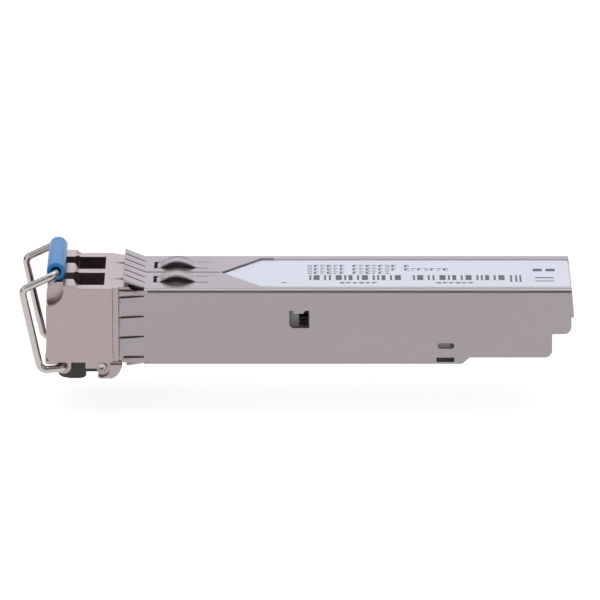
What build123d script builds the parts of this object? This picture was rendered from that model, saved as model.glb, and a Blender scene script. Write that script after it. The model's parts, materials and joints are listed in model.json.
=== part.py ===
from build123d import *
import math
import os

# Small pluggable optical transceiver with duplex fibre ports and a bail latch, in millimetres.
# X runs from the ports (-X) to the card edge (+X), Y across, Z up. The origin is on the
# bottom plane, on the centreline, at the latch shoulder.

# ---- overall sizes
sleeve_width = 13.4
sleeve_height = 8.5
sleeve_end = 45.0            # latch shoulder to the sleeve's rear edge
nose_front = -11.5           # front face of the ports
nose_overhang = 0.4          # how far the nose stands out past the sleeve, each side
nose_rise = 0.15             # of the nose's top above the sleeve's
rim_rise = 0.35              # of the rim round the port mouths above the nose

# ---- sheet sleeve
sheet = 0.3
sheet_gap = 0.02             # play between the sleeve and the casting
sheet_bend = 0.5             # outside radius of the folds
sheet_bend_inner = 0.05
sleeve_front = -0.97         # where the fingers begin
flange = 1.25                # width of the roof flanges beside the label
bottom_end = 33.2            # the sleeve's bottom is open behind this
step_end = 42.95             # the lower part of the sides ends here
step_height = 3.45
skirt_bottom = 0.83
slope_length = 0.85          # of the skirt's edge behind the closed bottom
corner_round = 0.8

# ---- ports and optics
port_pitch = 6.25
port_width = 4.77
port_bottom = 1.45
port_top = 6.15
port_back = -1.6
optic_height = 3.8
ferrule_bore = 0.6275        # radius that takes a 1.25 mm ferrule
stub_radius = 0.625
guide_length = 2.3           # of the split sleeve that guides the ferrule
guide_wall = 0.19
nozzle_radius = 1.45
nozzle_front = -6.2
nozzle_seat = 0.65           # of the nozzle's wide bore past the split sleeve
header_gap = 0.85            # between the transmitter's header and the receiver's
header_flange = 0.25         # width of the header's rim outside the can
bay_play = 0.15              # round the headers
slip = 0.03                  # play of pieces that are slid together

# ---- latch
wire_radius = 0.4
arm_inset = 0.8              # of the arms' centrelines from the nose's sides
arm_clearance = 0.4          # between an arm and the nose's corner notch
ear_wall = 0.45
ear_play = 0.2               # between an arm and the ear it turns in
axle_x = -9.7
axle_z = -0.45
crank_throw = 0.45
crank_radius = 0.3
crank_play = 0.14
crank_reach = 0.85           # how far the crank pin enters the lever
grip_radius = 1.0
grip_play = 0.1              # radial, on the wire
grip_end_gap = 1.05          # from an arm's centreline to the grip's end
grip_rest = 0.03             # gap between the resting grip and the rim
pin_x = -5.57
pin_z = -0.15
pin_radius = 0.44
recess_radius = 0.29         # in the pin's ends
recess_depth = 0.45
running_gap = 0.03           # radial play of everything that turns
cheek_width = 2.15
lever_gap = 0.2              # side play between the lever and the casting
tail_width = 6.2
tail_end = 2.5
tine_slot = 3.0
boss_width = 2.6
boss_length = 2.6
boss_drop = 0.45

# ---- board
board_bottom = 2.25
board_thickness = 1.0
board_end = 41.8
board_front = 4.6
edge_width = 9.2
board_ledge = 0.35           # of the board under each rail
board_step = 33.6
pad_count = 10
pad_pitch = 0.8
pad_width = 0.55
pad_thickness = 0.05
label_thickness = 0.1

# ---- worked out from the sizes above
half_width = sleeve_width / 2
core_half = half_width - sheet - sheet_gap
core_bottom = sheet + sheet_gap
core_top = sleeve_height - sheet - sheet_gap
nose_half = half_width + nose_overhang
nose_top = sleeve_height + nose_rise
rim_top = nose_top + rim_rise
band_half = half_width + 0.02
port_y = port_pitch / 2
header_radius = port_y - header_gap / 2
can_radius = header_radius - header_flange
arm_offset = nose_half - arm_inset
board_top = board_bottom + board_thickness
grip_x = nose_front + 1.05
grip_z = rim_top + grip_rest + grip_radius
grip_bore = wire_radius + grip_play
grip_length = 2 * (arm_offset - grip_end_gap)
cheek_in = nose_half - cheek_width
lever_half = cheek_in - lever_gap
ear_out = arm_offset - wire_radius - ear_play
ear_radius = wire_radius + ear_wall


def block(x0, x1, y0, y1, z0, z1):
    return Pos((x0 + x1) / 2, (y0 + y1) / 2, (z0 + z1) / 2) * Box(x1 - x0, y1 - y0, z1 - z0)


def wide(x0, x1, half, z0, z1):
    """A block centred across the part."""
    return block(x0, x1, -half, half, z0, z1)


def rod_x(x0, x1, y, z, radius):
    return Pos((x0 + x1) / 2, y, z) * Rot(0, 90, 0) * Cylinder(radius, x1 - x0)


def rod_y(y0, y1, x, z, radius):
    return Pos(x, (y0 + y1) / 2, z) * Rot(90, 0, 0) * Cylinder(radius, y1 - y0)


def side_prism(outline, y0, y1):
    """An outline of (X, Z) points, from y0 to y1."""
    face = make_face(Polyline(*outline, close=True))
    return extrude(Plane((0, y1, 0), x_dir=(1, 0, 0), z_dir=(0, -1, 0)) * face, y1 - y0)


def plan_prism(outline, z0, z1):
    """An outline of (X, Y) points, from z0 to z1."""
    return extrude(Pos(0, 0, z0) * make_face(Polyline(*outline, close=True)), z1 - z0)


def corner_blend(radius, x, z, sx, sz, y0, y1):
    """The waste outside a rounded corner whose sides run towards sx and sz."""
    square = block(min(x, x + sx * radius), max(x, x + sx * radius), y0, y1,
                   min(z, z + sz * radius), max(z, z + sz * radius))
    return square - rod_y(y0 - 1, y1 + 1, x + sx * radius, z + sz * radius, radius)


# ---------------------------------------------------------------- casting
step_back = -4.37            # the wide part of the nose ends here
band_back = -3.7
cheek_back = -3.36
roof_thickness = 1.08
rail_width = 1.13
roof_under = core_top - roof_thickness
rail_in = core_half - rail_width
board_width = 2 * (rail_in + board_ledge)
rear_block_end = sleeve_end + 0.3
rear_block_bottom = 5.2
cavity_front = -0.8
optics_end = board_front
bay_half = port_y + header_radius + bay_play
bay_floor = optic_height - header_radius - bay_play
keyway_width = 2.53
window_front = -8.2
window_back = -5.28
notch_radius = 1.9
cheek_bottom = -0.29
wire_relief = 0.4            # underside of the nose above the wire
hook_bottom = -1.41


def nose_block():
    body = wide(nose_front, step_back, nose_half, wire_relief, nose_top)
    body += wide(step_back - 0.5, band_back, band_half, wire_relief, nose_top)
    body += wide(band_back - 0.5, cavity_front + 2, core_half, core_bottom, core_top)
    top = [(band_back - 0.5, core_top - 1), (band_back - 0.5, nose_top),
           (-2.63, nose_top), (-2.1, core_top), (-2.1, core_top - 1)]
    body += side_prism(top, -core_half, core_half)
    rim = [(nose_front, nose_top - 1), (nose_front, rim_top), (-8.5, rim_top),
           (-8.06, nose_top), (-8.06, nose_top - 1)]
    body += side_prism(rim, -nose_half, nose_half)
    # small lip under the port mouths, inside the line of the bail arms
    lip = [(nose_front - 0.15, 0.25), (nose_front - 0.15, 1.05), (nose_front + 0.1, 1.4),
           (nose_front + 1.2, 1.4), (nose_front + 1.2, 0.0), (nose_front + 0.1, 0.0)]
    return body + side_prism(lip, -arm_offset - 0.2, arm_offset + 0.2)


def optics_bay():
    bay = wide(cavity_front, optics_end + 1, bay_half, bay_floor, roof_under)
    return bay + wide(optics_end - 0.8, optics_end + 1, bay_half, -1, roof_under)


def nose_cuts():
    cuts = [optics_bay()]
    for y in (-port_y, port_y):
        half = port_width / 2
        cuts.append(block(nose_front - 2, port_back, y - half, y + half, port_bottom, port_top))
        cuts.append(rod_x(port_back - 1, cavity_front + 1, y, optic_height, nozzle_radius + slip))
        key = keyway_width / 2
        cuts.append(block(nose_front - 2, window_front + 0.1, y - key, y + key, port_top - 1, rim_top + 1))
        cuts.append(block(window_front, window_back, y - half, y + half, port_top - 1, rim_top + 1))
        splay = [(window_front, y - half), (window_front - 0.45, y - key), (window_front - 0.45, y + key),
                 (window_front, y + half), (window_front + 0.3, y + half), (window_front + 0.3, y - half)]
        cuts.append(plan_prism(splay, port_top - 1, rim_top + 1))
        groove = [(step_back - 0.1, y), (-3.2, y - 0.35), (-3.2, y + 0.35)]
        cuts.append(plan_prism(groove, nose_top - 0.25, nose_top + 1))
    inner = arm_offset - wire_radius - arm_clearance
    for y0, y1 in ((-nose_half - 1, -inner), (inner, nose_half + 1)):
        cuts.append(rod_y(y0, y1, nose_front, rim_top - 0.45, notch_radius))
        cuts.append(corner_blend(0.8, nose_front, wire_relief, 1, 1, y0, y1))
    cuts.append(corner_blend(1.4, nose_front, rim_top, 1, -1, -inner - 0.1, inner + 0.1))
    # pockets behind the sleeve's side windows, through the rails
    cuts.append(wide(window_x0 - 0.2, window_x1 + 0.2, core_half + 1, window_z0 - 0.2, window_z1 + 0.1)
                - wide(window_x0 - 1, window_x1 + 1, rail_in - 0.3, 0, 10))
    # pockets that the arched springs are pressed down into
    for y in (-spring_y, spring_y):
        half = spring_width / 2 + spring_slit
        cuts.append(block(0.0, slit_end, y - half, y + half, core_top - spring_pocket, core_top + 1))
    # grooves in the roof for the flanges' turned-down edges
    hem_in = half_width - flange - hem_gap
    for y0, y1 in ((-hem_in - sheet - 2 * hem_gap, -hem_in), (hem_in, hem_in + sheet + 2 * hem_gap)):
        cuts.append(block(hem_start - hem_gap, sleeve_end + 1, y0, y1, hem_bottom - 0.08, core_top + 1))
    # recess in the underside for the lever's front, and the channel for its tail
    cuts.append(wide(axle_x - 1.0, -7.2, cheek_in, -3, 1.0))
    cuts.append(wide(-7.3, cheek_back, cheek_in, -3, 0.8))
    cuts.append(wide(cheek_back - 0.1, tail_end + 0.5, tail_width / 2 + 0.05, -3, 0.68))
    return cuts


def cheek(side):
    """The side wall below the nose, with the lever pin's hole, the round pocket and the hook."""
    outer = [(-7.3, 1.5), (-7.3, cheek_bottom), (-6.2, cheek_bottom), (-5.95, -0.6),
             (-5.95, hook_bottom + 0.15), (-5.8, hook_bottom), (-4.45, hook_bottom), (-4.05, -1.2),
             (-3.62, -0.7), (cheek_back, -0.05), (cheek_back, 0.3), (band_back, 0.45), (band_back, 1.5)]
    body = side_prism(outer, cheek_in, nose_half)
    body -= block(-4.6, -3.2, band_half - 0.1, nose_half + 1, 0.14, 0.59)
    body -= block(-4.3, -3.2, band_half, nose_half + 1, 0.5, 2)
    pocket = rod_y(nose_half - 0.5, nose_half + 1, -5.49, -0.41, 0.79)
    pocket -= rod_y(nose_half - 1, nose_half + 2, pin_x, pin_z, pin_radius + 0.12)
    pocket -= block(-7, pin_x, nose_half - 1, nose_half + 2, cheek_bottom, 2)
    body -= pocket
    body -= block(-7, -5.5, nose_half - 0.5, nose_half + 1, -1.15, cheek_bottom - 0.3)
    body -= rod_y(-20, 20, pin_x, pin_z, pin_radius + 0.01)
    return body if side > 0 else mirror(body, Plane.XZ)


def bearing_ear(side):
    ear = rod_y(cheek_in, ear_out, axle_x, axle_z, ear_radius)
    ear += block(axle_x - ear_radius, axle_x + ear_radius, cheek_in, ear_out, axle_z, wire_relief + 0.3)
    ear -= rod_y(cheek_in - 1, ear_out + 1, axle_x, axle_z, wire_radius + running_gap)
    return ear if side > 0 else mirror(ear, Plane.XZ)


def roof_and_rails():
    body = wide(cavity_front, sleeve_end, core_half, board_top, core_top)
    tail = [(sleeve_end - 1, core_top), (sleeve_end + 0.05, core_top),
            (rear_block_end, rear_block_bottom + 0.15), (rear_block_end - 0.15, rear_block_bottom),
            (sleeve_end - 1, rear_block_bottom)]
    body += side_prism(tail, -core_half, core_half)
    body -= wide(cavity_front - 1, rear_block_end - 1.6, rail_in, -1, roof_under)
    body -= wide(board_step + 0.4, rear_block_end + 1, core_half + 1, -1, rear_block_bottom)
    # walls beside the optics reach down to the floor
    body += wide(cavity_front - 0.5, optics_end, core_half, core_bottom, core_top)
    return body


def latch_boss():
    post = [(0, 0.8), (0, -boss_drop), (0.5, -boss_drop), (boss_length, -0.02), (boss_length, 0.8)]
    return side_prism(post, -boss_width / 2, boss_width / 2)


def base_housing():
    body = nose_block()
    body += roof_and_rails()
    for cut in nose_cuts():
        body -= cut
    for side in (-1, 1):
        body += cheek(side)
        body += bearing_ear(side)
    body += latch_boss()
    return body


# ---------------------------------------------------------------- sheet sleeve
finger_pitch = 2.04
finger_slot = 0.28
side_slot_low = 0.96         # height of the lowest slot between the side fingers
side_slot_high = sleeve_height - 0.78
side_finger_count = 3
finger_tip_gap = 0.03
top_finger_rise = 0.93
top_finger_tip = -3.2
seam_end = 7.1
vee_end = 11.6
hem_start = 12.94            # behind this the flanges' inner edges are turned down
hem_gap = 0.04
hem_bend = 0.2
hem_bottom = core_top - 0.23
finger_inset = 0.65          # of the top fingers from the sleeve's sides
window_x0 = 14.66
window_x1 = 16.8
window_z0 = 4.15
window_z1 = 6.07
tab_x0 = 15.1
tab_x1 = 16.15
tab_z = 5.75
spring_y = 2.75
spring_width = 2.15
spring_front = 0.64
spring_back = 4.62
spring_rise = 0.74
slit_end = 5.91
spring_pocket = 0.7          # depth of the recess under each spring
spring_slit = 0.2            # width of the slits beside and behind the springs


def window_tab(side):
    """The tab bent in from the window's upper edge."""
    tab = block(tab_x0 + 0.03, tab_x1 - 0.03, rail_in + 0.2, half_width - 0.05, tab_z, tab_z + sheet)
    return tab if side > 0 else mirror(tab, Plane.XZ)


def flange_hem(side):
    """The flange's inner edge, turned down beside the label."""
    inner = half_width - flange
    hem = block(hem_start, sleeve_end, inner, inner + sheet, hem_bottom, sleeve_height - 0.05)
    return hem if side > 0 else mirror(hem, Plane.XZ)


def hem_bevel(side):
    """The waste along the fold between a flange and its turned-down edge."""
    inner = half_width - flange
    outline = [(inner - 0.1, sleeve_height - hem_bend), (inner, sleeve_height - hem_bend),
               (inner + hem_bend, sleeve_height), (inner + hem_bend, sleeve_height + 0.1),
               (inner - 0.1, sleeve_height + 0.1)]
    face = Plane.YZ * make_face(Polyline(*outline, close=True))
    waste = Pos(hem_start, 0, 0) * extrude(face, sleeve_end - hem_start + 1)
    return waste if side > 0 else mirror(waste, Plane.XZ)


def bent_strip(points, thickness, across0, across1):
    """Sheet of one thickness along (X, Z) points, which lie on its outer face; across in Y."""
    lower = [(x, z - thickness) for x, z in points]
    return side_prism(points + lower[::-1], across0, across1)


def sleeve_shell():
    section = Plane.YZ * Pos(0, sleeve_height / 2) * RectangleRounded(sleeve_width, sleeve_height, sheet_bend)
    hollow = Plane.YZ * Pos(0, sleeve_height / 2) * RectangleRounded(
        sleeve_width - 2 * sheet, sleeve_height - 2 * sheet, sheet_bend_inner)
    shell = Pos(sleeve_front, 0, 0) * extrude(section - hollow, sleeve_end - sleeve_front)
    inner = half_width - flange
    roof_gap = [(seam_end + 0.1, 0.0), (vee_end, inner), (sleeve_end + 1, inner),
                (sleeve_end + 1, -inner), (vee_end, -inner)]
    shell -= plan_prism(roof_gap, sleeve_height - 1, sleeve_height + 1)
    shell -= wide(sleeve_front - 1, seam_end, finger_slot / 2, sleeve_height - 1, sleeve_height + 1)
    # open bottom at the rear, and the sides' stepped rear outline
    far = half_width + 1
    slope_end = bottom_end + slope_length
    shell -= wide(slope_end, sleeve_end + 1, far, -1, skirt_bottom)
    shell -= side_prism([(bottom_end, -1), (bottom_end, 0), (slope_end, skirt_bottom), (slope_end + 0.1, -1)],
                        -far, far)
    shell -= wide(step_end, sleeve_end + 1, far, -1, step_height)
    shell -= corner_blend(corner_round, sleeve_end, step_height, -1, 1, -far, far)
    shell -= corner_blend(corner_round, step_end, skirt_bottom, -1, 1, -far, far)
    # cut-out of the bottom for the lever's tail and the latch boss
    shell -= wide(sleeve_front - 1, tail_end + 0.6, tail_width / 2 + 0.15, -1, 1)
    return shell


def sleeve_openings():
    cuts = []
    far = half_width + 1
    window = [(window_x0, window_z0 + 0.35), (window_x0, window_z1), (tab_x0, window_z1), (tab_x0, tab_z),
              (tab_x1, tab_z), (tab_x1 + 0.2, window_z1), (window_x1, window_z1), (window_x1, window_z0),
              (window_x0 + 0.35, window_z0)]
    cuts.append(side_prism(window, -far, far))
    cuts.append(wide(30.9, 32.1, far, 1.86, 2.44))
    for x in (30.9, 32.1):
        cuts.append(rod_y(-far, far, x, 2.15, 0.29))
    cuts.append(wide(30.5, 32.4, far, 0.32, 0.83))
    for y in (-spring_y, spring_y):
        half = spring_width / 2
        low, high = sleeve_height - 1, sleeve_height + 1
        cuts.append(block(0.0, spring_back, y - half - spring_slit, y + half + spring_slit, low, high))
        for s in (-1, 1):
            edge = y + s * (half + spring_slit / 2)
            cuts.append(block(spring_back - 0.1, slit_end, edge - spring_slit / 2, edge + spring_slit / 2,
                              low, high))
    return cuts


def side_fingers(side):
    skin = [(sleeve_front + 0.4, half_width), (sleeve_front, half_width), (-2.2, half_width + 0.1),
            (-3.3, half_width + 0.1), (band_back + finger_tip_gap, half_width)]
    inner = [(x, y - sheet) for x, y in skin]
    strip = plan_prism(skin + inner[::-1], sheet, sleeve_height - 0.2)
    for k in range(1, side_finger_count + 1):
        z = side_slot_low + k * (side_slot_high - side_slot_low) / side_finger_count
        wedge = [(-4, z - 0.25), (sleeve_front, z - 0.06), (sleeve_front, z + 0.06), (-4, z + 0.25)]
        strip -= side_prism(wedge, 0, half_width + 1)
    strip -= block(-4, sleeve_front, 0, half_width + 1, side_slot_low - 0.12, side_slot_low + 0.12)
    strip -= block(-4, -3.25, 0, half_width + 1, -1, side_slot_low)
    return strip if side > 0 else mirror(strip, Plane.XZ)


def top_fingers():
    skin = [(sleeve_front + 0.4, sleeve_height), (-0.86, sleeve_height),
            (top_finger_tip, sleeve_height + top_finger_rise)]
    half = half_width - finger_inset
    strip = bent_strip(skin, sheet * 0.9, -half, half)
    low = sleeve_height - 1
    count = round(2 * half / finger_pitch)
    for k in range(1, count):
        y = (k - count / 2) * finger_pitch
        strip -= block(-4, -0.86, y - finger_slot / 2, y + finger_slot / 2, low, low + 4)
    return strip - wide(-2, 2, finger_slot / 2, low, low + 4)


def bottom_fingers(side):
    first = tail_width / 2 + 0.15
    skin = [(sleeve_front + 0.4, sheet), (sleeve_front, sheet), (-2.9, 0.0)]
    last = half_width - finger_inset
    middle = (first + last) / 2
    strip = bent_strip(skin, sheet * 0.9, first, last)
    strip -= block(-4, sleeve_front, middle - finger_slot / 2, middle + finger_slot / 2, -2, 2)
    return strip if side > 0 else mirror(strip, Plane.XZ)


def arched_spring(y):
    steps = 18
    arch = [(spring_front - 0.3, sleeve_height - 0.02)]
    for k in range(steps + 1):
        t = k / steps
        x = spring_front + (spring_back - spring_front) * t
        arch.append((x, sleeve_height + spring_rise * math.sin(math.pi * t ** 0.9)))
    arch.append((spring_back + 0.5, sleeve_height))
    return bent_strip(arch, sheet * 0.8, y - spring_width / 2, y + spring_width / 2)


def outer_sleeve():
    body = sleeve_shell()
    for cut in sleeve_openings():
        body -= cut
    body += top_fingers()
    for side in (-1, 1):
        body += side_fingers(side)
        body += bottom_fingers(side)
        body += window_tab(side)
        body += flange_hem(side)
        body -= hem_bevel(side)
        body += arched_spring(side * spring_y)
    return body


# ---------------------------------------------------------------- label
def label():
    inner = half_width - flange - 2 * hem_gap
    outline = [(seam_end + 0.4, 0.1), (vee_end, inner), (sleeve_end - 0.1, inner),
               (sleeve_end - 0.1, -inner), (vee_end, -inner), (seam_end + 0.4, -0.1)]
    return plan_prism(outline, core_top + 0.005, core_top + 0.005 + label_thickness)


# ---------------------------------------------------------------- bail
def bail_wire():
    axle_end = lever_half + 0.05
    lower = (-12.16, -0.68)
    upper = (-14.1, rim_top - 0.72)
    half = [(axle_x, axle_end, axle_z), (axle_x, arm_offset, axle_z), (lower[0], arm_offset, lower[1]),
            (upper[0], arm_offset, upper[1]), (grip_x, arm_offset, grip_z)]
    points = half + [(x, -y, z) for x, y, z in half[::-1]]
    bends = [wire_radius + extra for extra in (0.1, 0.45, 0.35, 0.4)]
    radii = bends + bends[::-1]
    path = FilletPolyline(*points, radius=radii)
    wire = sweep(Plane(origin=path @ 0, z_dir=path % 0) * Circle(wire_radius), path)
    for side in (-1, 1):
        ends = sorted((side * (lever_half - crank_reach), side * (cheek_in - 0.05)))
        wire += rod_y(*ends, axle_x + crank_throw, axle_z, crank_radius)
    return wire


def bail_grip():
    outside = rod_y(-grip_length / 2, grip_length / 2, grip_x, grip_z, grip_radius)
    return outside - rod_y(-grip_length, grip_length, grip_x, grip_z, grip_bore)


# ---------------------------------------------------------------- latch lever and its pin
def latch_lever():
    front = -10.3
    outline = [(front, 0.36), (front, -1.45), (-10.15, -1.72), (-9.75, -1.96), (-9.0, -2.08), (-8.0, -2.08),
               (-7.5, -1.98), (-7.3, -1.8), (-7.3, -1.32), (pin_x, -1.32), (-4.9, -1.0), (-4.5, -0.4),
               (-4.0, 0.05), (cheek_back - 0.25, 0.05),
               (cheek_back - 0.25, 0.55), (-7.3, 0.55), (-7.4, 0.36)]
    body = side_prism(outline, -lever_half, lever_half)
    body += wide(cheek_back - 0.6, tail_end, tail_width / 2, 0.05, 0.55)
    body -= wide(-0.35, tail_end + 1, tine_slot / 2, -1, 1)
    tip = [(tail_end - 0.6, 0.05), (tail_end + 0.1, 0.45), (tail_end + 0.1, -0.1)]
    body -= side_prism(tip, -tail_width, tail_width)
    body -= rod_y(-10, 10, pin_x, pin_z, pin_radius + running_gap)
    for side in (-1, 1):
        ends = sorted((side * (lever_half - crank_reach - 0.25), side * (lever_half + 1)))
        body -= block(front - 1, axle_x + crank_throw + crank_radius + 0.1, *ends,
                      axle_z - crank_radius - crank_play, axle_z + crank_radius + crank_play)
    return body


def lever_pin():
    end = nose_half - 0.05
    pin = rod_y(-end, end, pin_x, pin_z, pin_radius)
    for y0, y1 in ((-end - 1, -end + recess_depth), (end - recess_depth, end + 1)):
        pin -= rod_y(y0, y1, pin_x, pin_z, recess_radius)
    return pin


# ---------------------------------------------------------------- optics
def optics(name, y):
    pieces = {}
    z = optic_height
    flange_x = cavity_front + 0.02
    guide_front = nozzle_front + 0.5
    guide_back = guide_front + guide_length
    guide_out = ferrule_bore + guide_wall
    nozzle = rod_x(nozzle_front, flange_x + 0.1, y, z, nozzle_radius)
    nozzle += rod_x(flange_x, flange_x + 0.7, y, z, can_radius - 0.2)
    nozzle -= rod_x(nozzle_front - 1, guide_back + nozzle_seat, y, z, guide_out + 0.01)
    nozzle -= rod_x(guide_back, flange_x + 1, y, z, stub_radius + 0.005)
    nozzle = nozzle.solid()
    pieces[name + "_nozzle"] = chamfer(nozzle.faces().sort_by(Axis.X)[0].edges(), 0.2)
    guide = rod_x(guide_front, guide_back, y, z, guide_out)
    guide -= rod_x(guide_front - 1, guide_back + 1, y, z, ferrule_bore)
    guide -= block(guide_front - 1, guide_back + 1, y - 0.1, y + 0.1, z, z + 1)
    pieces[name + "_sleeve"] = guide
    pieces[name + "_ferrule"] = rod_x(guide_back + 0.15, flange_x + 0.6, y, z, stub_radius)
    can_start = flange_x + 0.7
    can = rod_x(can_start, can_start + 2.2, y, z, can_radius)
    can -= rod_x(can_start + 0.5, can_start + 3, y, z, can_radius - 0.5)
    pieces[name + "_can"] = can
    header_x = can_start + 2.2
    header = rod_x(header_x, header_x + 0.5, y, z, header_radius)
    header += rod_x(header_x - 0.6, header_x, y, z, 1.2)
    for dy, dz in ((0.7, 0.7), (-0.7, 0.7), (0.7, -0.7), (-0.7, -0.7)):
        header += rod_x(header_x, header_x + 1.0, y + dy, z + dz, 0.15)
    pieces[name + "_header"] = header
    film_x = header_x + 0.55
    film = block(film_x, film_x + 0.1, y - 1.3, y + 1.3, board_top + 0.02, z + 1.6)
    film += block(film_x, board_front + 1.6, y - 1.3, y + 1.3, board_top + 0.02, board_top + 0.12)
    for dy, dz in ((0.7, 0.7), (-0.7, 0.7), (0.7, -0.7), (-0.7, -0.7)):
        film -= rod_x(header_x, header_x + 2, y + dy, z + dz, 0.17)
    pieces[name + "_flex"] = film
    return pieces


# ---------------------------------------------------------------- board
def circuit_board():
    half = board_width / 2
    board = wide(board_front, board_step, half, board_bottom, board_top)
    board += wide(board_step - 1, board_end, edge_width / 2, board_bottom, board_top)
    tip = board.edges().filter_by(Axis.Y).group_by(Axis.X)[-1]
    return chamfer(tip, 0.25)


def contacts(z0, z1):
    pads = []
    for k in range(pad_count):
        y = (k - (pad_count - 1) / 2) * pad_pitch
        start = board_end - 4.2 + (0.5 if k in (3, 6) else 0.0)
        pads.append(block(start, board_end - 0.6, y - pad_width / 2, y + pad_width / 2, z0, z1))
    return Compound(pads)


def chip(x, y, length, width, height):
    return block(x - length / 2, x + length / 2, y - width / 2, y + width / 2, board_top, board_top + height)


def row_of(places, length, width, height):
    return Compound([chip(x, y, length, width, height) for x, y in places])


def board_parts():
    driver_height = 0.9
    pieces = {
        "laser_driver": chip(11.5, -2.6, 4.0, 4.0, driver_height),
        "limiting_amplifier": chip(11.5, 2.8, 3.0, 3.0, 0.85),
        "controller": chip(20.5, 0.0, 5.0, 5.0, 0.9),
        "memory_chip": chip(28.0, 2.6, 3.0, 2.0, 0.75),
    }
    pad_bottom = board_top + driver_height
    pieces["thermal_pad"] = block(9.6, 13.4, -4.5, -0.7, pad_bottom, roof_under - 0.02)
    pieces["capacitors"] = row_of([(16.2, y) for y in (-4.2, -2.8, -1.4, 1.4, 2.8, 4.2)]
                                  + [(31.5, y) for y in (-4.0, -2.6, -1.2)], 1.0, 0.5, 0.5)
    pieces["resistors"] = row_of([(25.0, y) for y in (-4.2, -3.2, -2.2, 3.2, 4.2)]
                                 + [(8.0, y) for y in (-4.2, 0.0, 4.4)], 0.6, 0.3, 0.35)
    pieces["inductors"] = row_of([(28.5, -3.6), (28.5, -0.8), (31.5, 3.6)], 1.6, 1.6, 1.2)
    return pieces


def board_shield():
    """A thin folded strip that closes the optics' bay off from the board."""
    x = board_front + 2.2
    wall = wide(x, x + 0.15, rail_in - 0.05, board_top + 0.02, roof_under - 0.02)
    return wall - wide(x - 1, x + 1, 4.6, board_top, board_top + 0.4)


def save(name, shape):
    export_step(shape, "parts/" + name + ".step")


def main():
    os.makedirs("parts", exist_ok=True)
    pieces = {
        "base_housing": base_housing(),
        "outer_sleeve": outer_sleeve(),
        "label": label(),
        "bail_wire": bail_wire(),
        "bail_grip": bail_grip(),
        "latch_lever": latch_lever(),
        "lever_pin": lever_pin(),
        "circuit_board": circuit_board(),
        "contacts_top": contacts(board_top, board_top + pad_thickness),
        "contacts_bottom": contacts(board_bottom - pad_thickness, board_bottom),
        "board_shield": board_shield(),
    }
    pieces.update(optics("tx", -port_y))
    pieces.update(optics("rx", port_y))
    pieces.update(board_parts())
    for name, shape in pieces.items():
        save(name, shape)


main()
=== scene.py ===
import json
import math
import bmesh
import bpy
from mathutils import Matrix, Vector


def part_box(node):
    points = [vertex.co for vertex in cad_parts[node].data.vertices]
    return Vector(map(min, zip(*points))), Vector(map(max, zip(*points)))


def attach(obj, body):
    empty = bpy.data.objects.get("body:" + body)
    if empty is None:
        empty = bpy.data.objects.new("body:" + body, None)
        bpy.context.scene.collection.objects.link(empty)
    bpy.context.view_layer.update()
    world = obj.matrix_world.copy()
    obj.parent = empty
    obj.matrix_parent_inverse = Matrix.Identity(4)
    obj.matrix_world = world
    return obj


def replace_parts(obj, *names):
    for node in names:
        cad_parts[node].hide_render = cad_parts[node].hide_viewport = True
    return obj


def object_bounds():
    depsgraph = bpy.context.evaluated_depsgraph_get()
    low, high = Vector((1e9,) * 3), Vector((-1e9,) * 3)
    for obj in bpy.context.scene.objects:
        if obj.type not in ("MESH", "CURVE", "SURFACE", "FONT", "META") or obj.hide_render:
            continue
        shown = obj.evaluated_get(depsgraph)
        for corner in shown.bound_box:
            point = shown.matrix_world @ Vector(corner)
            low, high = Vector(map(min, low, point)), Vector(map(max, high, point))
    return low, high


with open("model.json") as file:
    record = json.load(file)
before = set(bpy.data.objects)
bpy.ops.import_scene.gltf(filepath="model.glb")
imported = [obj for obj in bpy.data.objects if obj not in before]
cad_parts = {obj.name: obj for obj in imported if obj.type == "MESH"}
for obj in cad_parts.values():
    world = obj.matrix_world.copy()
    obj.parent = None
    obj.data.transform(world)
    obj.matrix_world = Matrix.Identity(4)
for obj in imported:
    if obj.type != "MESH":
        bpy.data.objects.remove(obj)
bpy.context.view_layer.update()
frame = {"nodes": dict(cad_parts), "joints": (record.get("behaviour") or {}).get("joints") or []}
nodes = frame["nodes"]
mm = 0.001
joints = {j["name"]: j for j in frame["joints"]}
print("frame loaded:", len(nodes), "nodes")


# shader groups, built once and placed in the materials

grainHeight = 0.02 * mm

def addSocket(group, label, way, kind, value=None):
    socket = group.interface.new_socket(name=label, in_out=way, socket_type=kind)
    if value is not None:
        socket.default_value = value


def newGroup(label):
    group = bpy.data.node_groups.new(label, "ShaderNodeTree")
    return group, group.nodes, group.links


def inMillimetres(n, link):
    # Object coordinates, scaled so that patterns are given in millimetres
    coords, scaled = n.new("ShaderNodeTexCoord"), n.new("ShaderNodeMapping")
    scaled.inputs["Scale"].default_value = (1 / mm, 1 / mm, 1 / mm)
    link.new(coords.outputs["Object"], scaled.inputs["Vector"])
    return scaled.outputs["Vector"]


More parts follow.
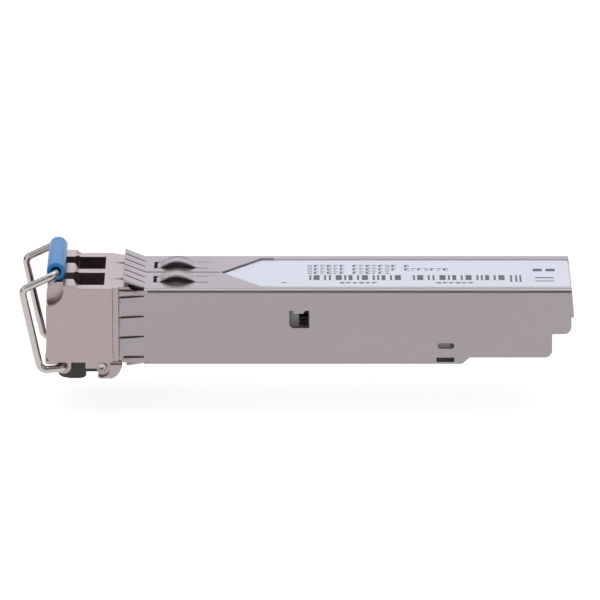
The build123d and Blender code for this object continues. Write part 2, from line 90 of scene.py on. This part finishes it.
def makeGrainGroup():
    # fine surface grain, in millimetres, that may be drawn out along an axis
    group, n, link = newGroup("fineGrain")
    addSocket(group, "Per mm", "INPUT", "NodeSocketFloat", 8.0)
    addSocket(group, "Stretch", "INPUT", "NodeSocketVector", (1.0, 1.0, 1.0))
    addSocket(group, "Depth", "INPUT", "NodeSocketFloat", 0.2)
    addSocket(group, "Mask", "OUTPUT", "NodeSocketFloat")
    addSocket(group, "Normal", "OUTPUT", "NodeSocketVector")
    inside, outside = n.new("NodeGroupInput"), n.new("NodeGroupOutput")
    drawn = n.new("ShaderNodeVectorMath")
    drawn.operation = "MULTIPLY"
    noise, bump = n.new("ShaderNodeTexNoise"), n.new("ShaderNodeBump")
    noise.inputs["Detail"].default_value = 3.0
    noise.inputs["Roughness"].default_value = 0.6
    bump.inputs["Distance"].default_value = grainHeight
    link.new(inMillimetres(n, link), drawn.inputs[0])
    link.new(inside.outputs["Stretch"], drawn.inputs[1])
    link.new(drawn.outputs["Vector"], noise.inputs["Vector"])
    link.new(inside.outputs["Per mm"], noise.inputs["Scale"])
    link.new(noise.outputs["Fac"], outside.inputs["Mask"])
    link.new(noise.outputs["Fac"], bump.inputs["Height"])
    link.new(inside.outputs["Depth"], bump.inputs["Strength"])
    link.new(bump.outputs["Normal"], outside.inputs["Normal"])
    return group


def makeHandlingGroup():
    # broad soft patches left by handling
    group, n, link = newGroup("handlingMarks")
    addSocket(group, "Patch size mm", "INPUT", "NodeSocketFloat", 9.0)
    addSocket(group, "Patches", "OUTPUT", "NodeSocketFloat")
    inside, outside = n.new("NodeGroupInput"), n.new("NodeGroupOutput")
    perMm, broad = n.new("ShaderNodeMath"), n.new("ShaderNodeTexNoise")
    perMm.operation = "DIVIDE"
    perMm.inputs[0].default_value = 1.0
    broad.inputs["Detail"].default_value = 2.0
    link.new(inMillimetres(n, link), broad.inputs["Vector"])
    link.new(inside.outputs["Patch size mm"], perMm.inputs[1])
    link.new(perMm.outputs["Value"], broad.inputs["Scale"])
    link.new(broad.outputs["Fac"], outside.inputs["Patches"])
    return group


grainGroup = makeGrainGroup()
handlingGroup = makeHandlingGroup()


def placeGroup(tree, group, **values):
    # an underscore in a value's name stands for a space in the socket's
    node = tree.nodes.new("ShaderNodeGroup")
    node.node_tree = group
    for label, value in values.items():
        node.inputs[label.replace("_", " ")].default_value = value
    return node


def fromTo(tree, source, start, end, low, high):
    ramp = tree.nodes.new("ShaderNodeMapRange")
    for socket, value in (("From Min", start), ("From Max", end), ("To Min", low), ("To Max", high)):
        ramp.inputs[socket].default_value = value
    tree.links.new(source, ramp.inputs["Value"])
    return ramp.outputs["Result"]


def overNoise(tree, noise, low, high):
    # most of a noise lies between 0.3 and 0.7
    return fromTo(tree, noise, 0.3, 0.7, low, high)


def mathOn(tree, operation, first, second):
    # each of the two is a number or another node's output
    node = tree.nodes.new("ShaderNodeMath")
    node.operation = operation
    for socket, value in zip(node.inputs, (first, second)):
        if isinstance(value, float):
            socket.default_value = value
        else:
            tree.links.new(value, socket)
    return node.outputs["Value"]


def mixTints(tree, factor, *tints):
    # the two tints are fixed colours or other nodes' outputs; sockets 6 and 7 are the mix's colours
    mix = tree.nodes.new("ShaderNodeMix")
    mix.data_type = "RGBA"
    for socket, tint in zip((mix.inputs[6], mix.inputs[7]), tints):
        if isinstance(tint, tuple):
            socket.default_value = (*tint, 1)
        else:
            tree.links.new(tint, socket)
    tree.links.new(factor, mix.inputs[0])
    return mix.outputs[2]


def newMaterial(label):
    material = bpy.data.materials.new(label)
    material.use_nodes = True
    return material, material.node_tree, material.node_tree.nodes["Principled BSDF"]


def makeMetal(label, tone, shade, rough, perMm=7.0, stretch=(1, 1, 1), depth=0.15, patch=9.0):
    material, tree, shader = newMaterial(label)
    grain = placeGroup(tree, grainGroup, Per_mm=perMm, Stretch=stretch, Depth=depth)
    marks = placeGroup(tree, handlingGroup, Patch_size_mm=patch)
    # the tint follows the fine grain and the broad patches in nearly equal shares
    fine = mathOn(tree, "MULTIPLY", grain.outputs["Mask"], 0.45)
    broad = mathOn(tree, "MULTIPLY", marks.outputs["Patches"], 0.55)
    tree.links.new(mixTints(tree, mathOn(tree, "ADD", fine, broad), shade, tone), shader.inputs["Base Color"])
    tree.links.new(overNoise(tree, marks.outputs["Patches"], *rough), shader.inputs["Roughness"])
    tree.links.new(grain.outputs["Normal"], shader.inputs["Normal"])
    shader.inputs["Metallic"].default_value = 1.0
    return material


def makePlastic(label, tone, shade, rough, perMm=5.0, depth=0.2, shine=0.5):
    material, tree, shader = newMaterial(label)
    grain = placeGroup(tree, grainGroup, Per_mm=perMm, Depth=depth)
    marks = placeGroup(tree, handlingGroup, Patch_size_mm=4.0)
    tree.links.new(mixTints(tree, marks.outputs["Patches"], shade, tone), shader.inputs["Base Color"])
    tree.links.new(overNoise(tree, grain.outputs["Mask"], *rough), shader.inputs["Roughness"])
    tree.links.new(grain.outputs["Normal"], shader.inputs["Normal"])
    shader.inputs["Specular IOR Level"].default_value = shine
    return material


castNickel = makeMetal("castNickel", (0.43, 0.355, 0.352), (0.36, 0.296, 0.294),
                       rough=(0.23, 0.34), perMm=3.0, depth=0.5)
sheetSteel = makeMetal("sheetSteel", (0.365, 0.328, 0.343), (0.31, 0.276, 0.290),
                       rough=(0.24, 0.33), perMm=2.2, stretch=(0.5, 1.0, 1.4), depth=0.22, patch=12.0)
wireSteel = makeMetal("wireSteel", (0.56, 0.52, 0.50), (0.44, 0.41, 0.39), rough=(0.12, 0.20), perMm=6.0,
                      stretch=(0.4, 0.4, 0.4), depth=0.12, patch=5.0)
pinSteel = makeMetal("pinSteel", (0.6, 0.57, 0.56), (0.48, 0.46, 0.45), rough=(0.18, 0.3), depth=0.1)
gripBlue = makePlastic("gripBlue", (0.004, 0.20, 0.52), (0.003, 0.165, 0.45),
                       rough=(0.30, 0.40), depth=0.1, shine=0.45)
leverBlack = makePlastic("leverBlack", (0.024, 0.017, 0.014), (0.014, 0.010, 0.008),
                         rough=(0.34, 0.46), depth=0.35)
chipBlack = makePlastic("chipBlack", (0.030, 0.030, 0.032), (0.02, 0.02, 0.022), rough=(0.5, 0.7), depth=0.5)
goldPlate = makeMetal("goldPlate", (0.86, 0.62, 0.24), (0.74, 0.50, 0.17), rough=(0.2, 0.32), depth=0.1)
ceramicWhite = makePlastic("ceramicWhite", (0.88, 0.87, 0.84), (0.80, 0.79, 0.75),
                           rough=(0.15, 0.25), depth=0.05)
filmAmber = makePlastic("filmAmber", (0.55, 0.23, 0.04), (0.42, 0.16, 0.02), rough=(0.3, 0.4), depth=0.1)
capacitorTan = makePlastic("capacitorTan", (0.42, 0.29, 0.17), (0.33, 0.22, 0.12),
                           rough=(0.4, 0.6), depth=0.3)
gapFiller = makePlastic("gapFiller", (0.34, 0.42, 0.5), (0.28, 0.35, 0.43), rough=(0.6, 0.8), depth=0.8)
printInk = makePlastic("printInk", (0.11, 0.11, 0.135), (0.07, 0.07, 0.09),
                       rough=(0.5, 0.65), perMm=14.0, depth=0.1)


def makeLabelFilm():
    # smooth printed film with a faint fibre and a cool white tone
    material, tree, shader = newMaterial("labelFilm")
    grain = placeGroup(tree, grainGroup, Per_mm=12.0, Stretch=(0.3, 1.0, 1.0), Depth=0.08)
    marks = placeGroup(tree, handlingGroup, Patch_size_mm=7.0)
    tree.links.new(mixTints(tree, marks.outputs["Patches"], (0.61, 0.64, 0.73), (0.66, 0.69, 0.77)),
                   shader.inputs["Base Color"])
    tree.links.new(overNoise(tree, grain.outputs["Mask"], 0.34, 0.46), shader.inputs["Roughness"])
    tree.links.new(grain.outputs["Normal"], shader.inputs["Normal"])
    return material


def makeSolderMask():
    # green board with copper tracks that show through as a lighter raised pattern
    material, tree, shader = newMaterial("solderMask")
    coords, scaled = tree.nodes.new("ShaderNodeTexCoord"), tree.nodes.new("ShaderNodeMapping")
    scaled.inputs["Scale"].default_value = (0.35 / mm, 1.1 / mm, 1 / mm)
    tracks, bump = tree.nodes.new("ShaderNodeTexBrick"), tree.nodes.new("ShaderNodeBump")
    tracks.inputs["Scale"].default_value = 1.0
    tracks.inputs["Mortar Size"].default_value = 0.06
    bump.inputs["Distance"].default_value = grainHeight
    bump.inputs["Strength"].default_value = 0.6
    tree.links.new(coords.outputs["Object"], scaled.inputs["Vector"])
    tree.links.new(scaled.outputs["Vector"], tracks.inputs["Vector"])
    tree.links.new(mixTints(tree, tracks.outputs["Fac"], (0.010, 0.075, 0.030), (0.03, 0.17, 0.07)),
                   shader.inputs["Base Color"])
    tree.links.new(tracks.outputs["Fac"], bump.inputs["Height"])
    tree.links.new(bump.outputs["Normal"], shader.inputs["Normal"])
    shader.inputs["Roughness"].default_value = 0.28
    return material


labelFilm = makeLabelFilm()
solderMask = makeSolderMask()
print("finishes made")


# helpers for the pieces

def finishPiece(bm, label, body, material, smoothAngle=30):
    mesh = bpy.data.meshes.new(label)
    bm.to_mesh(mesh)
    bm.free()
    piece = bpy.data.objects.new(label, mesh)
    bpy.context.scene.collection.objects.link(piece)
    mesh.materials.append(material)
    mesh.shade_smooth()
    mesh.set_sharp_from_angle(angle=math.radians(smoothAngle))
    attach(piece, body)
    return piece


shaping = {"weldGap": 0.0005 * mm, "flatAngle": 0.6, "sharpAngle": 35, "steps": 2}     # angles in degrees


def mergedCopy(node):
    # the node's own faces, welded and with flat areas joined up
    bm = bmesh.new()
    bm.from_mesh(nodes[node].data)
    bmesh.ops.remove_doubles(bm, verts=bm.verts, dist=shaping["weldGap"])
    flat = math.radians(shaping["flatAngle"])
    bmesh.ops.dissolve_limit(bm, angle_limit=flat, verts=bm.verts, edges=bm.edges)
    return bm


def softenEdges(bm, width, spare=None):
    # rounds the sharp edges; spare is a test for those to be left crisp
    least = math.radians(shaping["sharpAngle"])
    sharp = [e for e in bm.edges if len(e.link_faces) == 2 and e.calc_face_angle(0) > least
             and not (spare and spare(e))]
    bmesh.ops.bevel(bm, geom=sharp, offset=width, offset_type="OFFSET", segments=shaping["steps"],
                    profile=0.5, affect="EDGES", clamp_overlap=False, material=-1)


def polishedCopy(node, label, body, material, width, spare=None):
    bm = mergedCopy(node)
    softenEdges(bm, width, spare=spare)
    piece = finishPiece(bm, label, body, material)
    weighted = piece.modifiers.new("evenNormals", "WEIGHTED_NORMAL")
    weighted.keep_sharp = True
    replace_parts(piece, node)


def turnProfile(profile, rounded, centre, turned):
    # profile of (radius, Y) points, turned about an axis along Y: open from axis to axis for a solid piece,
    # and a loop for a tube; rounded lists the corners to soften
    bm = bmesh.new()
    line = [bm.verts.new((centre.x, centre.y + y, centre.z + radius)) for radius, y in profile]
    ends = line[1:] if turned["solid"] else line[1:] + line[:1]
    for a, b in zip(line, ends):
        bm.edges.new((a, b))
    bmesh.ops.bevel(bm, geom=[line[k] for k in rounded], offset=turned["round"], offset_type="OFFSET",
                    segments=turned["steps"], profile=0.5, affect="VERTICES", material=-1)
    bmesh.ops.spin(bm, geom=list(bm.verts) + list(bm.edges), cent=centre, axis=(0, 1, 0), angle=2 * math.pi,
                   steps=turned["turns"], use_merge=True, use_duplicate=False)
    bmesh.ops.remove_doubles(bm, verts=bm.verts, dist=0.001 * mm)
    bmesh.ops.recalc_face_normals(bm, faces=bm.faces)
    return bm


# casting, sleeve and lever: the frame's own shapes with worked edges

casting = {"edge": 0.05 * mm, "lipFront": -10.2 * mm, "lipTop": 2.0 * mm}
sleeve = {"edge": 0.035 * mm}
lever = {"edge": 0.06 * mm}


def onFrontLip(edge):
    # the small lip under the ports, whose facets are narrower than the rounding
    return any(v.co.x < casting["lipFront"] and v.co.z < casting["lipTop"] for v in edge.verts)


polishedCopy("base_housing", "castBase", "module", castNickel, casting["edge"], onFrontLip)
polishedCopy("outer_sleeve", "sheetSleeve", "module", sheetSteel, sleeve["edge"])
polishedCopy("latch_lever", "leverBody", "lever", leverBlack, lever["edge"])


# pin: a turned rod with a recess in each end
pin = {"solid": True, "recess": 0.29 * mm, "depth": 0.45 * mm, "round": 0.05 * mm, "steps": 3, "turns": 40}


def makePin():
    low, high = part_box("lever_pin")
    radius, end = (high.z - low.z) / 2, (high.y - low.y) / 2
    floor = end - pin["depth"]
    profile = [(0, -floor), (pin["recess"], -floor), (pin["recess"], -end), (radius, -end),
               (radius, end), (pin["recess"], end), (pin["recess"], floor), (0, floor)]
    bm = turnProfile(profile, (2, 3, 4, 5), (low + high) / 2, pin)
    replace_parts(finishPiece(bm, "leverPin", "module", pinSteel, smoothAngle=40), "lever_pin")


makePin()
print("housing pieces made")


# bail: one wire, bent at four corners on each side, with a crank pin on each inner end
bail = {
    "wireRadius": 0.4 * mm,
    "lowerCorner": Vector((-2.46, 0, -0.23)) * mm,     # from the pivot
    "upperCorner": Vector((-4.40, 0, 8.73)) * mm,
    "bends": (0.5 * mm, 0.85 * mm, 0.75 * mm, 0.8 * mm),     # radii, from the pivot to the grip
    "leverGap": 0.05 * mm,
    "crankThrow": 0.45 * mm,
    "crankRadius": 0.3 * mm,
    "crankLength": 0.9 * mm,
    "crankRoot": 0.1 * mm,                             # how far the crank runs into the wire's end
    "ringPoints": 28,
}


def extrudeRing(bm, ring, step):
    made = bmesh.ops.extrude_edge_only(bm, edges=ring)["geom"]
    bmesh.ops.translate(bm, verts=[g for g in made if isinstance(g, bmesh.types.BMVert)], vec=step)
    return [g for g in made if isinstance(g, bmesh.types.BMEdge) and all(v in made for v in g.verts)]


def bendWire(points, bends, radius, ringPoints):
    # a straight run to each corner, then a turn round it at its bend's radius
    bm = bmesh.new()
    heading = (points[1] - points[0]).normalized()
    turn = heading.to_track_quat("Z", "Y").to_matrix().to_4x4()
    bmesh.ops.create_circle(bm, cap_ends=True, radius=radius, segments=ringPoints,
                            matrix=Matrix.Translation(points[0]) @ turn)
    ring, here = list(bm.edges), points[0]
    for i, corner in enumerate(points[1:-1], 1):
        back, on = (points[i - 1] - corner).normalized(), (points[i + 1] - corner).normalized()
        turnBy = math.pi - back.angle(on)
        cut = bends[i - 1] * math.tan(turnBy / 2)
        start = corner + back * cut
        ring = extrudeRing(bm, ring, start - here)
        axis = back.cross(on).normalized() * -1
        centre = start + axis.cross(-back).normalized() * bends[i - 1]
        ringVerts = list({v for e in ring for v in e.verts})
        made = bmesh.ops.spin(bm, geom=ring + ringVerts, cent=centre, axis=axis, angle=turnBy, steps=10,
                              use_merge=False, use_duplicate=False)
        ring = [g for g in made["geom_last"] if isinstance(g, bmesh.types.BMEdge)]
        here = corner + on * cut
    ring = extrudeRing(bm, ring, points[-1] - here)
    bmesh.ops.edgeloop_fill(bm, edges=ring)
    bmesh.ops.recalc_face_normals(bm, faces=bm.faces)
    return bm


def makeBail():
    pivot = Vector(joints["bail_pivot"]["pos_m"])
    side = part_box("bail_wire")[1].y - bail["wireRadius"]
    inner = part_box("latch_lever")[1].y + bail["leverGap"]
    gripLow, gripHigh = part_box("bail_grip")
    grip = (gripLow + gripHigh) / 2
    out = Vector((0, side, 0))
    half = [Vector((pivot.x, inner, pivot.z)), pivot + out, pivot + bail["lowerCorner"] + out,
            pivot + bail["upperCorner"] + out, Vector((grip.x, side, grip.z))]
    points = half + [Vector((p.x, -p.y, p.z)) for p in reversed(half)]
    bm = bendWire(points, bail["bends"] + bail["bends"][::-1], bail["wireRadius"], bail["ringPoints"])
    crankIn, crankOut = inner - bail["crankLength"], inner + bail["crankRoot"]
    for s in (-1, 1):
        at = Matrix.Translation((pivot.x + bail["crankThrow"], s * (crankIn + crankOut) / 2, pivot.z))
        bmesh.ops.create_cone(bm, cap_ends=True, segments=bail["ringPoints"], radius1=bail["crankRadius"],
                              radius2=bail["crankRadius"], depth=crankOut - crankIn,
                              matrix=at @ Matrix.Rotation(math.pi / 2, 4, "X"))
    wire = finishPiece(bm, "bailWire", "bail", wireSteel, smoothAngle=50)
    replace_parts(wire, "bail_wire")


# grip: a moulded tube on the bail's cross bar
gripTube = {"solid": False, "bore": 0.5 * mm, "round": 0.16 * mm, "steps": 4, "turns": 48}


def makeGrip():
    low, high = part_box("bail_grip")
    outer, end, bore = (high.z - low.z) / 2, (high.y - low.y) / 2, gripTube["bore"]
    profile = [(outer, -end), (outer, end), (bore, end), (bore, -end)]
    bm = turnProfile(profile, range(4), (low + high) / 2, gripTube)
    piece = finishPiece(bm, "gripTube", "bail", gripBlue, smoothAngle=45)
    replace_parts(piece, "bail_grip")


makeBail()
makeGrip()
print("bail made")


# label print, in millimetres: short strokes in rows and plain bars, no lettering
labelPrint = {
    "thickness": 0.006, "stroke": 0.22, "pitch": 0.70, "width": 0.52, "tallWidth": 0.2,
    "rows": ((16.6, 3.05, 16, 0.85), (16.6, 1.75, 23, 0.85), (16.6, 0.45, 13, 0.85),     # X, Y, count, height
             (20.1, -3.45, 6, 0.5), (30.5, -3.45, 6, 0.5)),
    "bars": (0.22, 0.66, 0.22, 0.22, 0.66, 0.22, 0.44, 0.22, 0.66, 0.22, 0.22, 0.44),
    "barGaps": (0.24, 0.48, 0.3, 0.52, 0.26),
    "barGroups": ((16.8, 26.2), (28.0, 37.4)), "barLow": -2.4, "barHigh": -0.5,
    "tallBars": (38.5, 39.05, 39.5), "tallLow": -3.1,
    "patches": ((41.0, 42.0, 1.0, 2.0), (42.4, 43.4, 1.0, 2.0),     # X from and to, Y from and to
                (41.2, 43.2, -1.7, -1.3), (41.2, 43.2, -2.9, -2.6), (13.8, 14.3, -3.5, -3.2)),
}


def addPrint(bm, x0, x1, y0, y1, top):
    thick = labelPrint["thickness"] * mm
    at = Matrix.Translation(((x0 + x1) / 2 * mm, (y0 + y1) / 2 * mm, top + thick / 2))
    size = Matrix.Diagonal(((x1 - x0) * mm, (y1 - y0) * mm, thick, 1))
    bmesh.ops.create_cube(bm, size=1.0, matrix=at @ size)


def addStrokes(bm, x, y, count, height, top):
    # a row of small angular shapes, with one place in eight left empty
    stroke, width = labelPrint["stroke"], labelPrint["width"]
    for k in range(count):
        if k % 8 == 6:
            continue
        left = x + k * labelPrint["pitch"]
        addPrint(bm, left, left + width, y + height / 2 - stroke, y + height / 2, top)
        addPrint(bm, left, left + width * (0.6 if k % 3 else 1), y - height / 2, y - height / 2 + stroke, top)
        if k % 2:
            addPrint(bm, left, left + stroke, y - height / 2 + stroke, y + height / 2 - stroke, top)


def makePrint():
    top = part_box("label")[1].z
    bm = bmesh.new()
    for x, y, count, height in labelPrint["rows"]:
        addStrokes(bm, x, y, count, height, top)
    for start, end in labelPrint["barGroups"]:
        x, k = start, 0
        while x < end:
            bar = labelPrint["bars"][k % len(labelPrint["bars"])]
            addPrint(bm, x, x + bar, labelPrint["barLow"], labelPrint["barHigh"], top)
            x, k = x + bar + labelPrint["barGaps"][k % len(labelPrint["barGaps"])], k + 1
    for x in labelPrint["tallBars"]:
        addPrint(bm, x, x + labelPrint["tallWidth"], labelPrint["tallLow"], labelPrint["barHigh"], top)
    for x0, x1, y0, y1 in labelPrint["patches"]:
        addPrint(bm, x0, x1, y0, y1, top)
    finishPiece(bm, "labelPrint", "module", printInk)


makePrint()
print("label printed")


# finishes on the frame's own nodes
finishes = {
    "label": labelFilm, "circuit_board": solderMask, "contacts_top": goldPlate, "contacts_bottom": goldPlate,
    "board_shield": sheetSteel, "laser_driver": chipBlack, "limiting_amplifier": chipBlack,
    "controller": chipBlack, "memory_chip": chipBlack, "thermal_pad": gapFiller, "capacitors": capacitorTan,
    "resistors": chipBlack, "inductors": chipBlack,
}
for side in ("tx", "rx"):
    finishes.update({side + "_nozzle": pinSteel, side + "_can": pinSteel, side + "_header": goldPlate,
                     side + "_sleeve": ceramicWhite, side + "_ferrule": ceramicWhite,
                     side + "_flex": filmAmber})
for node, material in finishes.items():
    slots = nodes[node].material_slots
    if slots:
        for slot in slots:
            slot.material = material
    else:
        nodes[node].data.materials.append(material)
print("finishes assigned:", len(finishes))


# floor, light and camera

stage = {
    "floorDrop": 3.4 * mm,                             # keeps the floor below the opened bail
    "floorSize": 3.0, "floorTone": (0.3, 0.3, 0.3), "floorGlow": 0.85,
    "skyLow": (0.55, 0.54, 0.55), "skyHigh": (1.0, 1.0, 1.03), "skyRise": 0.6, "skyStrength": 0.75,
    "flagTone": (0.05, 0.045, 0.045), "frontFlag": (0.0, -0.82, 0.57),
    "frontFade": (0.86, 0.97, 0.78), "endFade": (0.82, 0.97, 0.85),     # from and to (cosines), and depth
}
softboxes = {     # all turned to the middle of the module
    "topBox": {"place": (0.02, 0.02, 0.35), "size": (0.5, 0.3), "power": 0.5, "tint": (1, 1, 1)},
    "backBox": {"place": (0.05, 0.45, 0.22), "size": (0.6, 0.3), "power": 0.4, "tint": (0.94, 0.93, 1.0)},
    "leftBox": {"place": (-0.4, -0.25, 0.2), "size": (0.25, 0.25), "power": 0.2, "tint": (1, 1, 1)},
}
lightAim = Vector((16, 0, 4)) * mm
view = {
    "elevation": 16.3,                                 # degrees
    "distance": 0.880, "aim": Vector((15.80, -6.7, 7.30)) * mm,
    "width": 64.475 * mm,                              # what the frame takes in, at the aim
}


def makeFloor():
    bm = bmesh.new()
    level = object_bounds()[0].z - stage["floorDrop"]
    bmesh.ops.create_grid(bm, x_segments=1, y_segments=1, size=stage["floorSize"],
                          matrix=Matrix.Translation((0, 0, level)))
    mesh = bpy.data.meshes.new("floor")
    bm.to_mesh(mesh)
    bm.free()
    floor = bpy.data.objects.new("floor", mesh)
    bpy.context.scene.collection.objects.link(floor)
    material, tree, shader = newMaterial("paleFloor")
    shader.inputs["Base Color"].default_value = (*stage["floorTone"], 1)
    shader.inputs["Roughness"].default_value = 0.9
    shader.inputs["Specular IOR Level"].default_value = 0.0
    shader.inputs["Emission Color"].default_value = (1, 1, 1, 1)
    shader.inputs["Emission Strength"].default_value = stage["floorGlow"]
    mesh.materials.append(material)


def makeSky():
    # a pale studio, with dark flags to the front and at both ends for the metal to reflect
    world = bpy.data.worlds.new("studio")
    bpy.context.scene.world = world
    world.use_nodes = True
    tree = world.node_tree
    coords, split = tree.nodes.new("ShaderNodeTexCoord"), tree.nodes.new("ShaderNodeSeparateXYZ")
    tree.links.new(coords.outputs["Generated"], split.inputs["Vector"])
    front = tree.nodes.new("ShaderNodeVectorMath")
    front.operation = "DOT_PRODUCT"
    front.inputs[1].default_value = stage["frontFlag"]
    tree.links.new(coords.outputs["Generated"], front.inputs[0])
    ends = mathOn(tree, "MAXIMUM", split.outputs["X"], mathOn(tree, "MULTIPLY", split.outputs["X"], -1.0))
    fades = ((front.outputs["Value"], stage["frontFade"]), (ends, stage["endFade"]))
    flags = [fromTo(tree, source, start, end, 0.0, depth) for source, (start, end, depth) in fades]
    rise = fromTo(tree, split.outputs["Z"], 0.0, stage["skyRise"], 0.0, 1.0)
    sky = mixTints(tree, rise, stage["skyLow"], stage["skyHigh"])
    background = tree.nodes["Background"]
    background.inputs["Strength"].default_value = stage["skyStrength"]
    flagged = mixTints(tree, mathOn(tree, "MAXIMUM", *flags), sky, stage["flagTone"])
    tree.links.new(flagged, background.inputs["Color"])


def addSoftbox(label, box):
    light = bpy.data.lights.new(label, "AREA")
    light.shape = "RECTANGLE"
    light.size, light.size_y = box["size"]
    light.energy, light.color = box["power"], box["tint"]
    lamp = bpy.data.objects.new(label, light)
    bpy.context.scene.collection.objects.link(lamp)
    lamp.location = box["place"]
    lamp.rotation_euler = (lightAim - lamp.location).to_track_quat("-Z", "Y").to_euler()


def makeCamera():
    camera = bpy.data.objects.new("camera", bpy.data.cameras.new("camera"))
    bpy.context.scene.collection.objects.link(camera)
    tilt = math.radians(view["elevation"])
    back = Vector((0, -math.cos(tilt), math.sin(tilt)))
    camera.location = view["aim"] + back * view["distance"]
    camera.rotation_euler = (-back).to_track_quat("-Z", "Y").to_euler()
    camera.data.sensor_width = 36.0
    camera.data.lens = camera.data.sensor_width * view["distance"] / view["width"]
    camera.data.clip_start, camera.data.clip_end = 0.01, 10.0
    bpy.context.scene.camera = camera


makeFloor()
makeSky()
for label, box in softboxes.items():
    addSoftbox(label, box)
makeCamera()
bpy.context.scene.view_settings.view_transform = "Standard"
print("stage set")
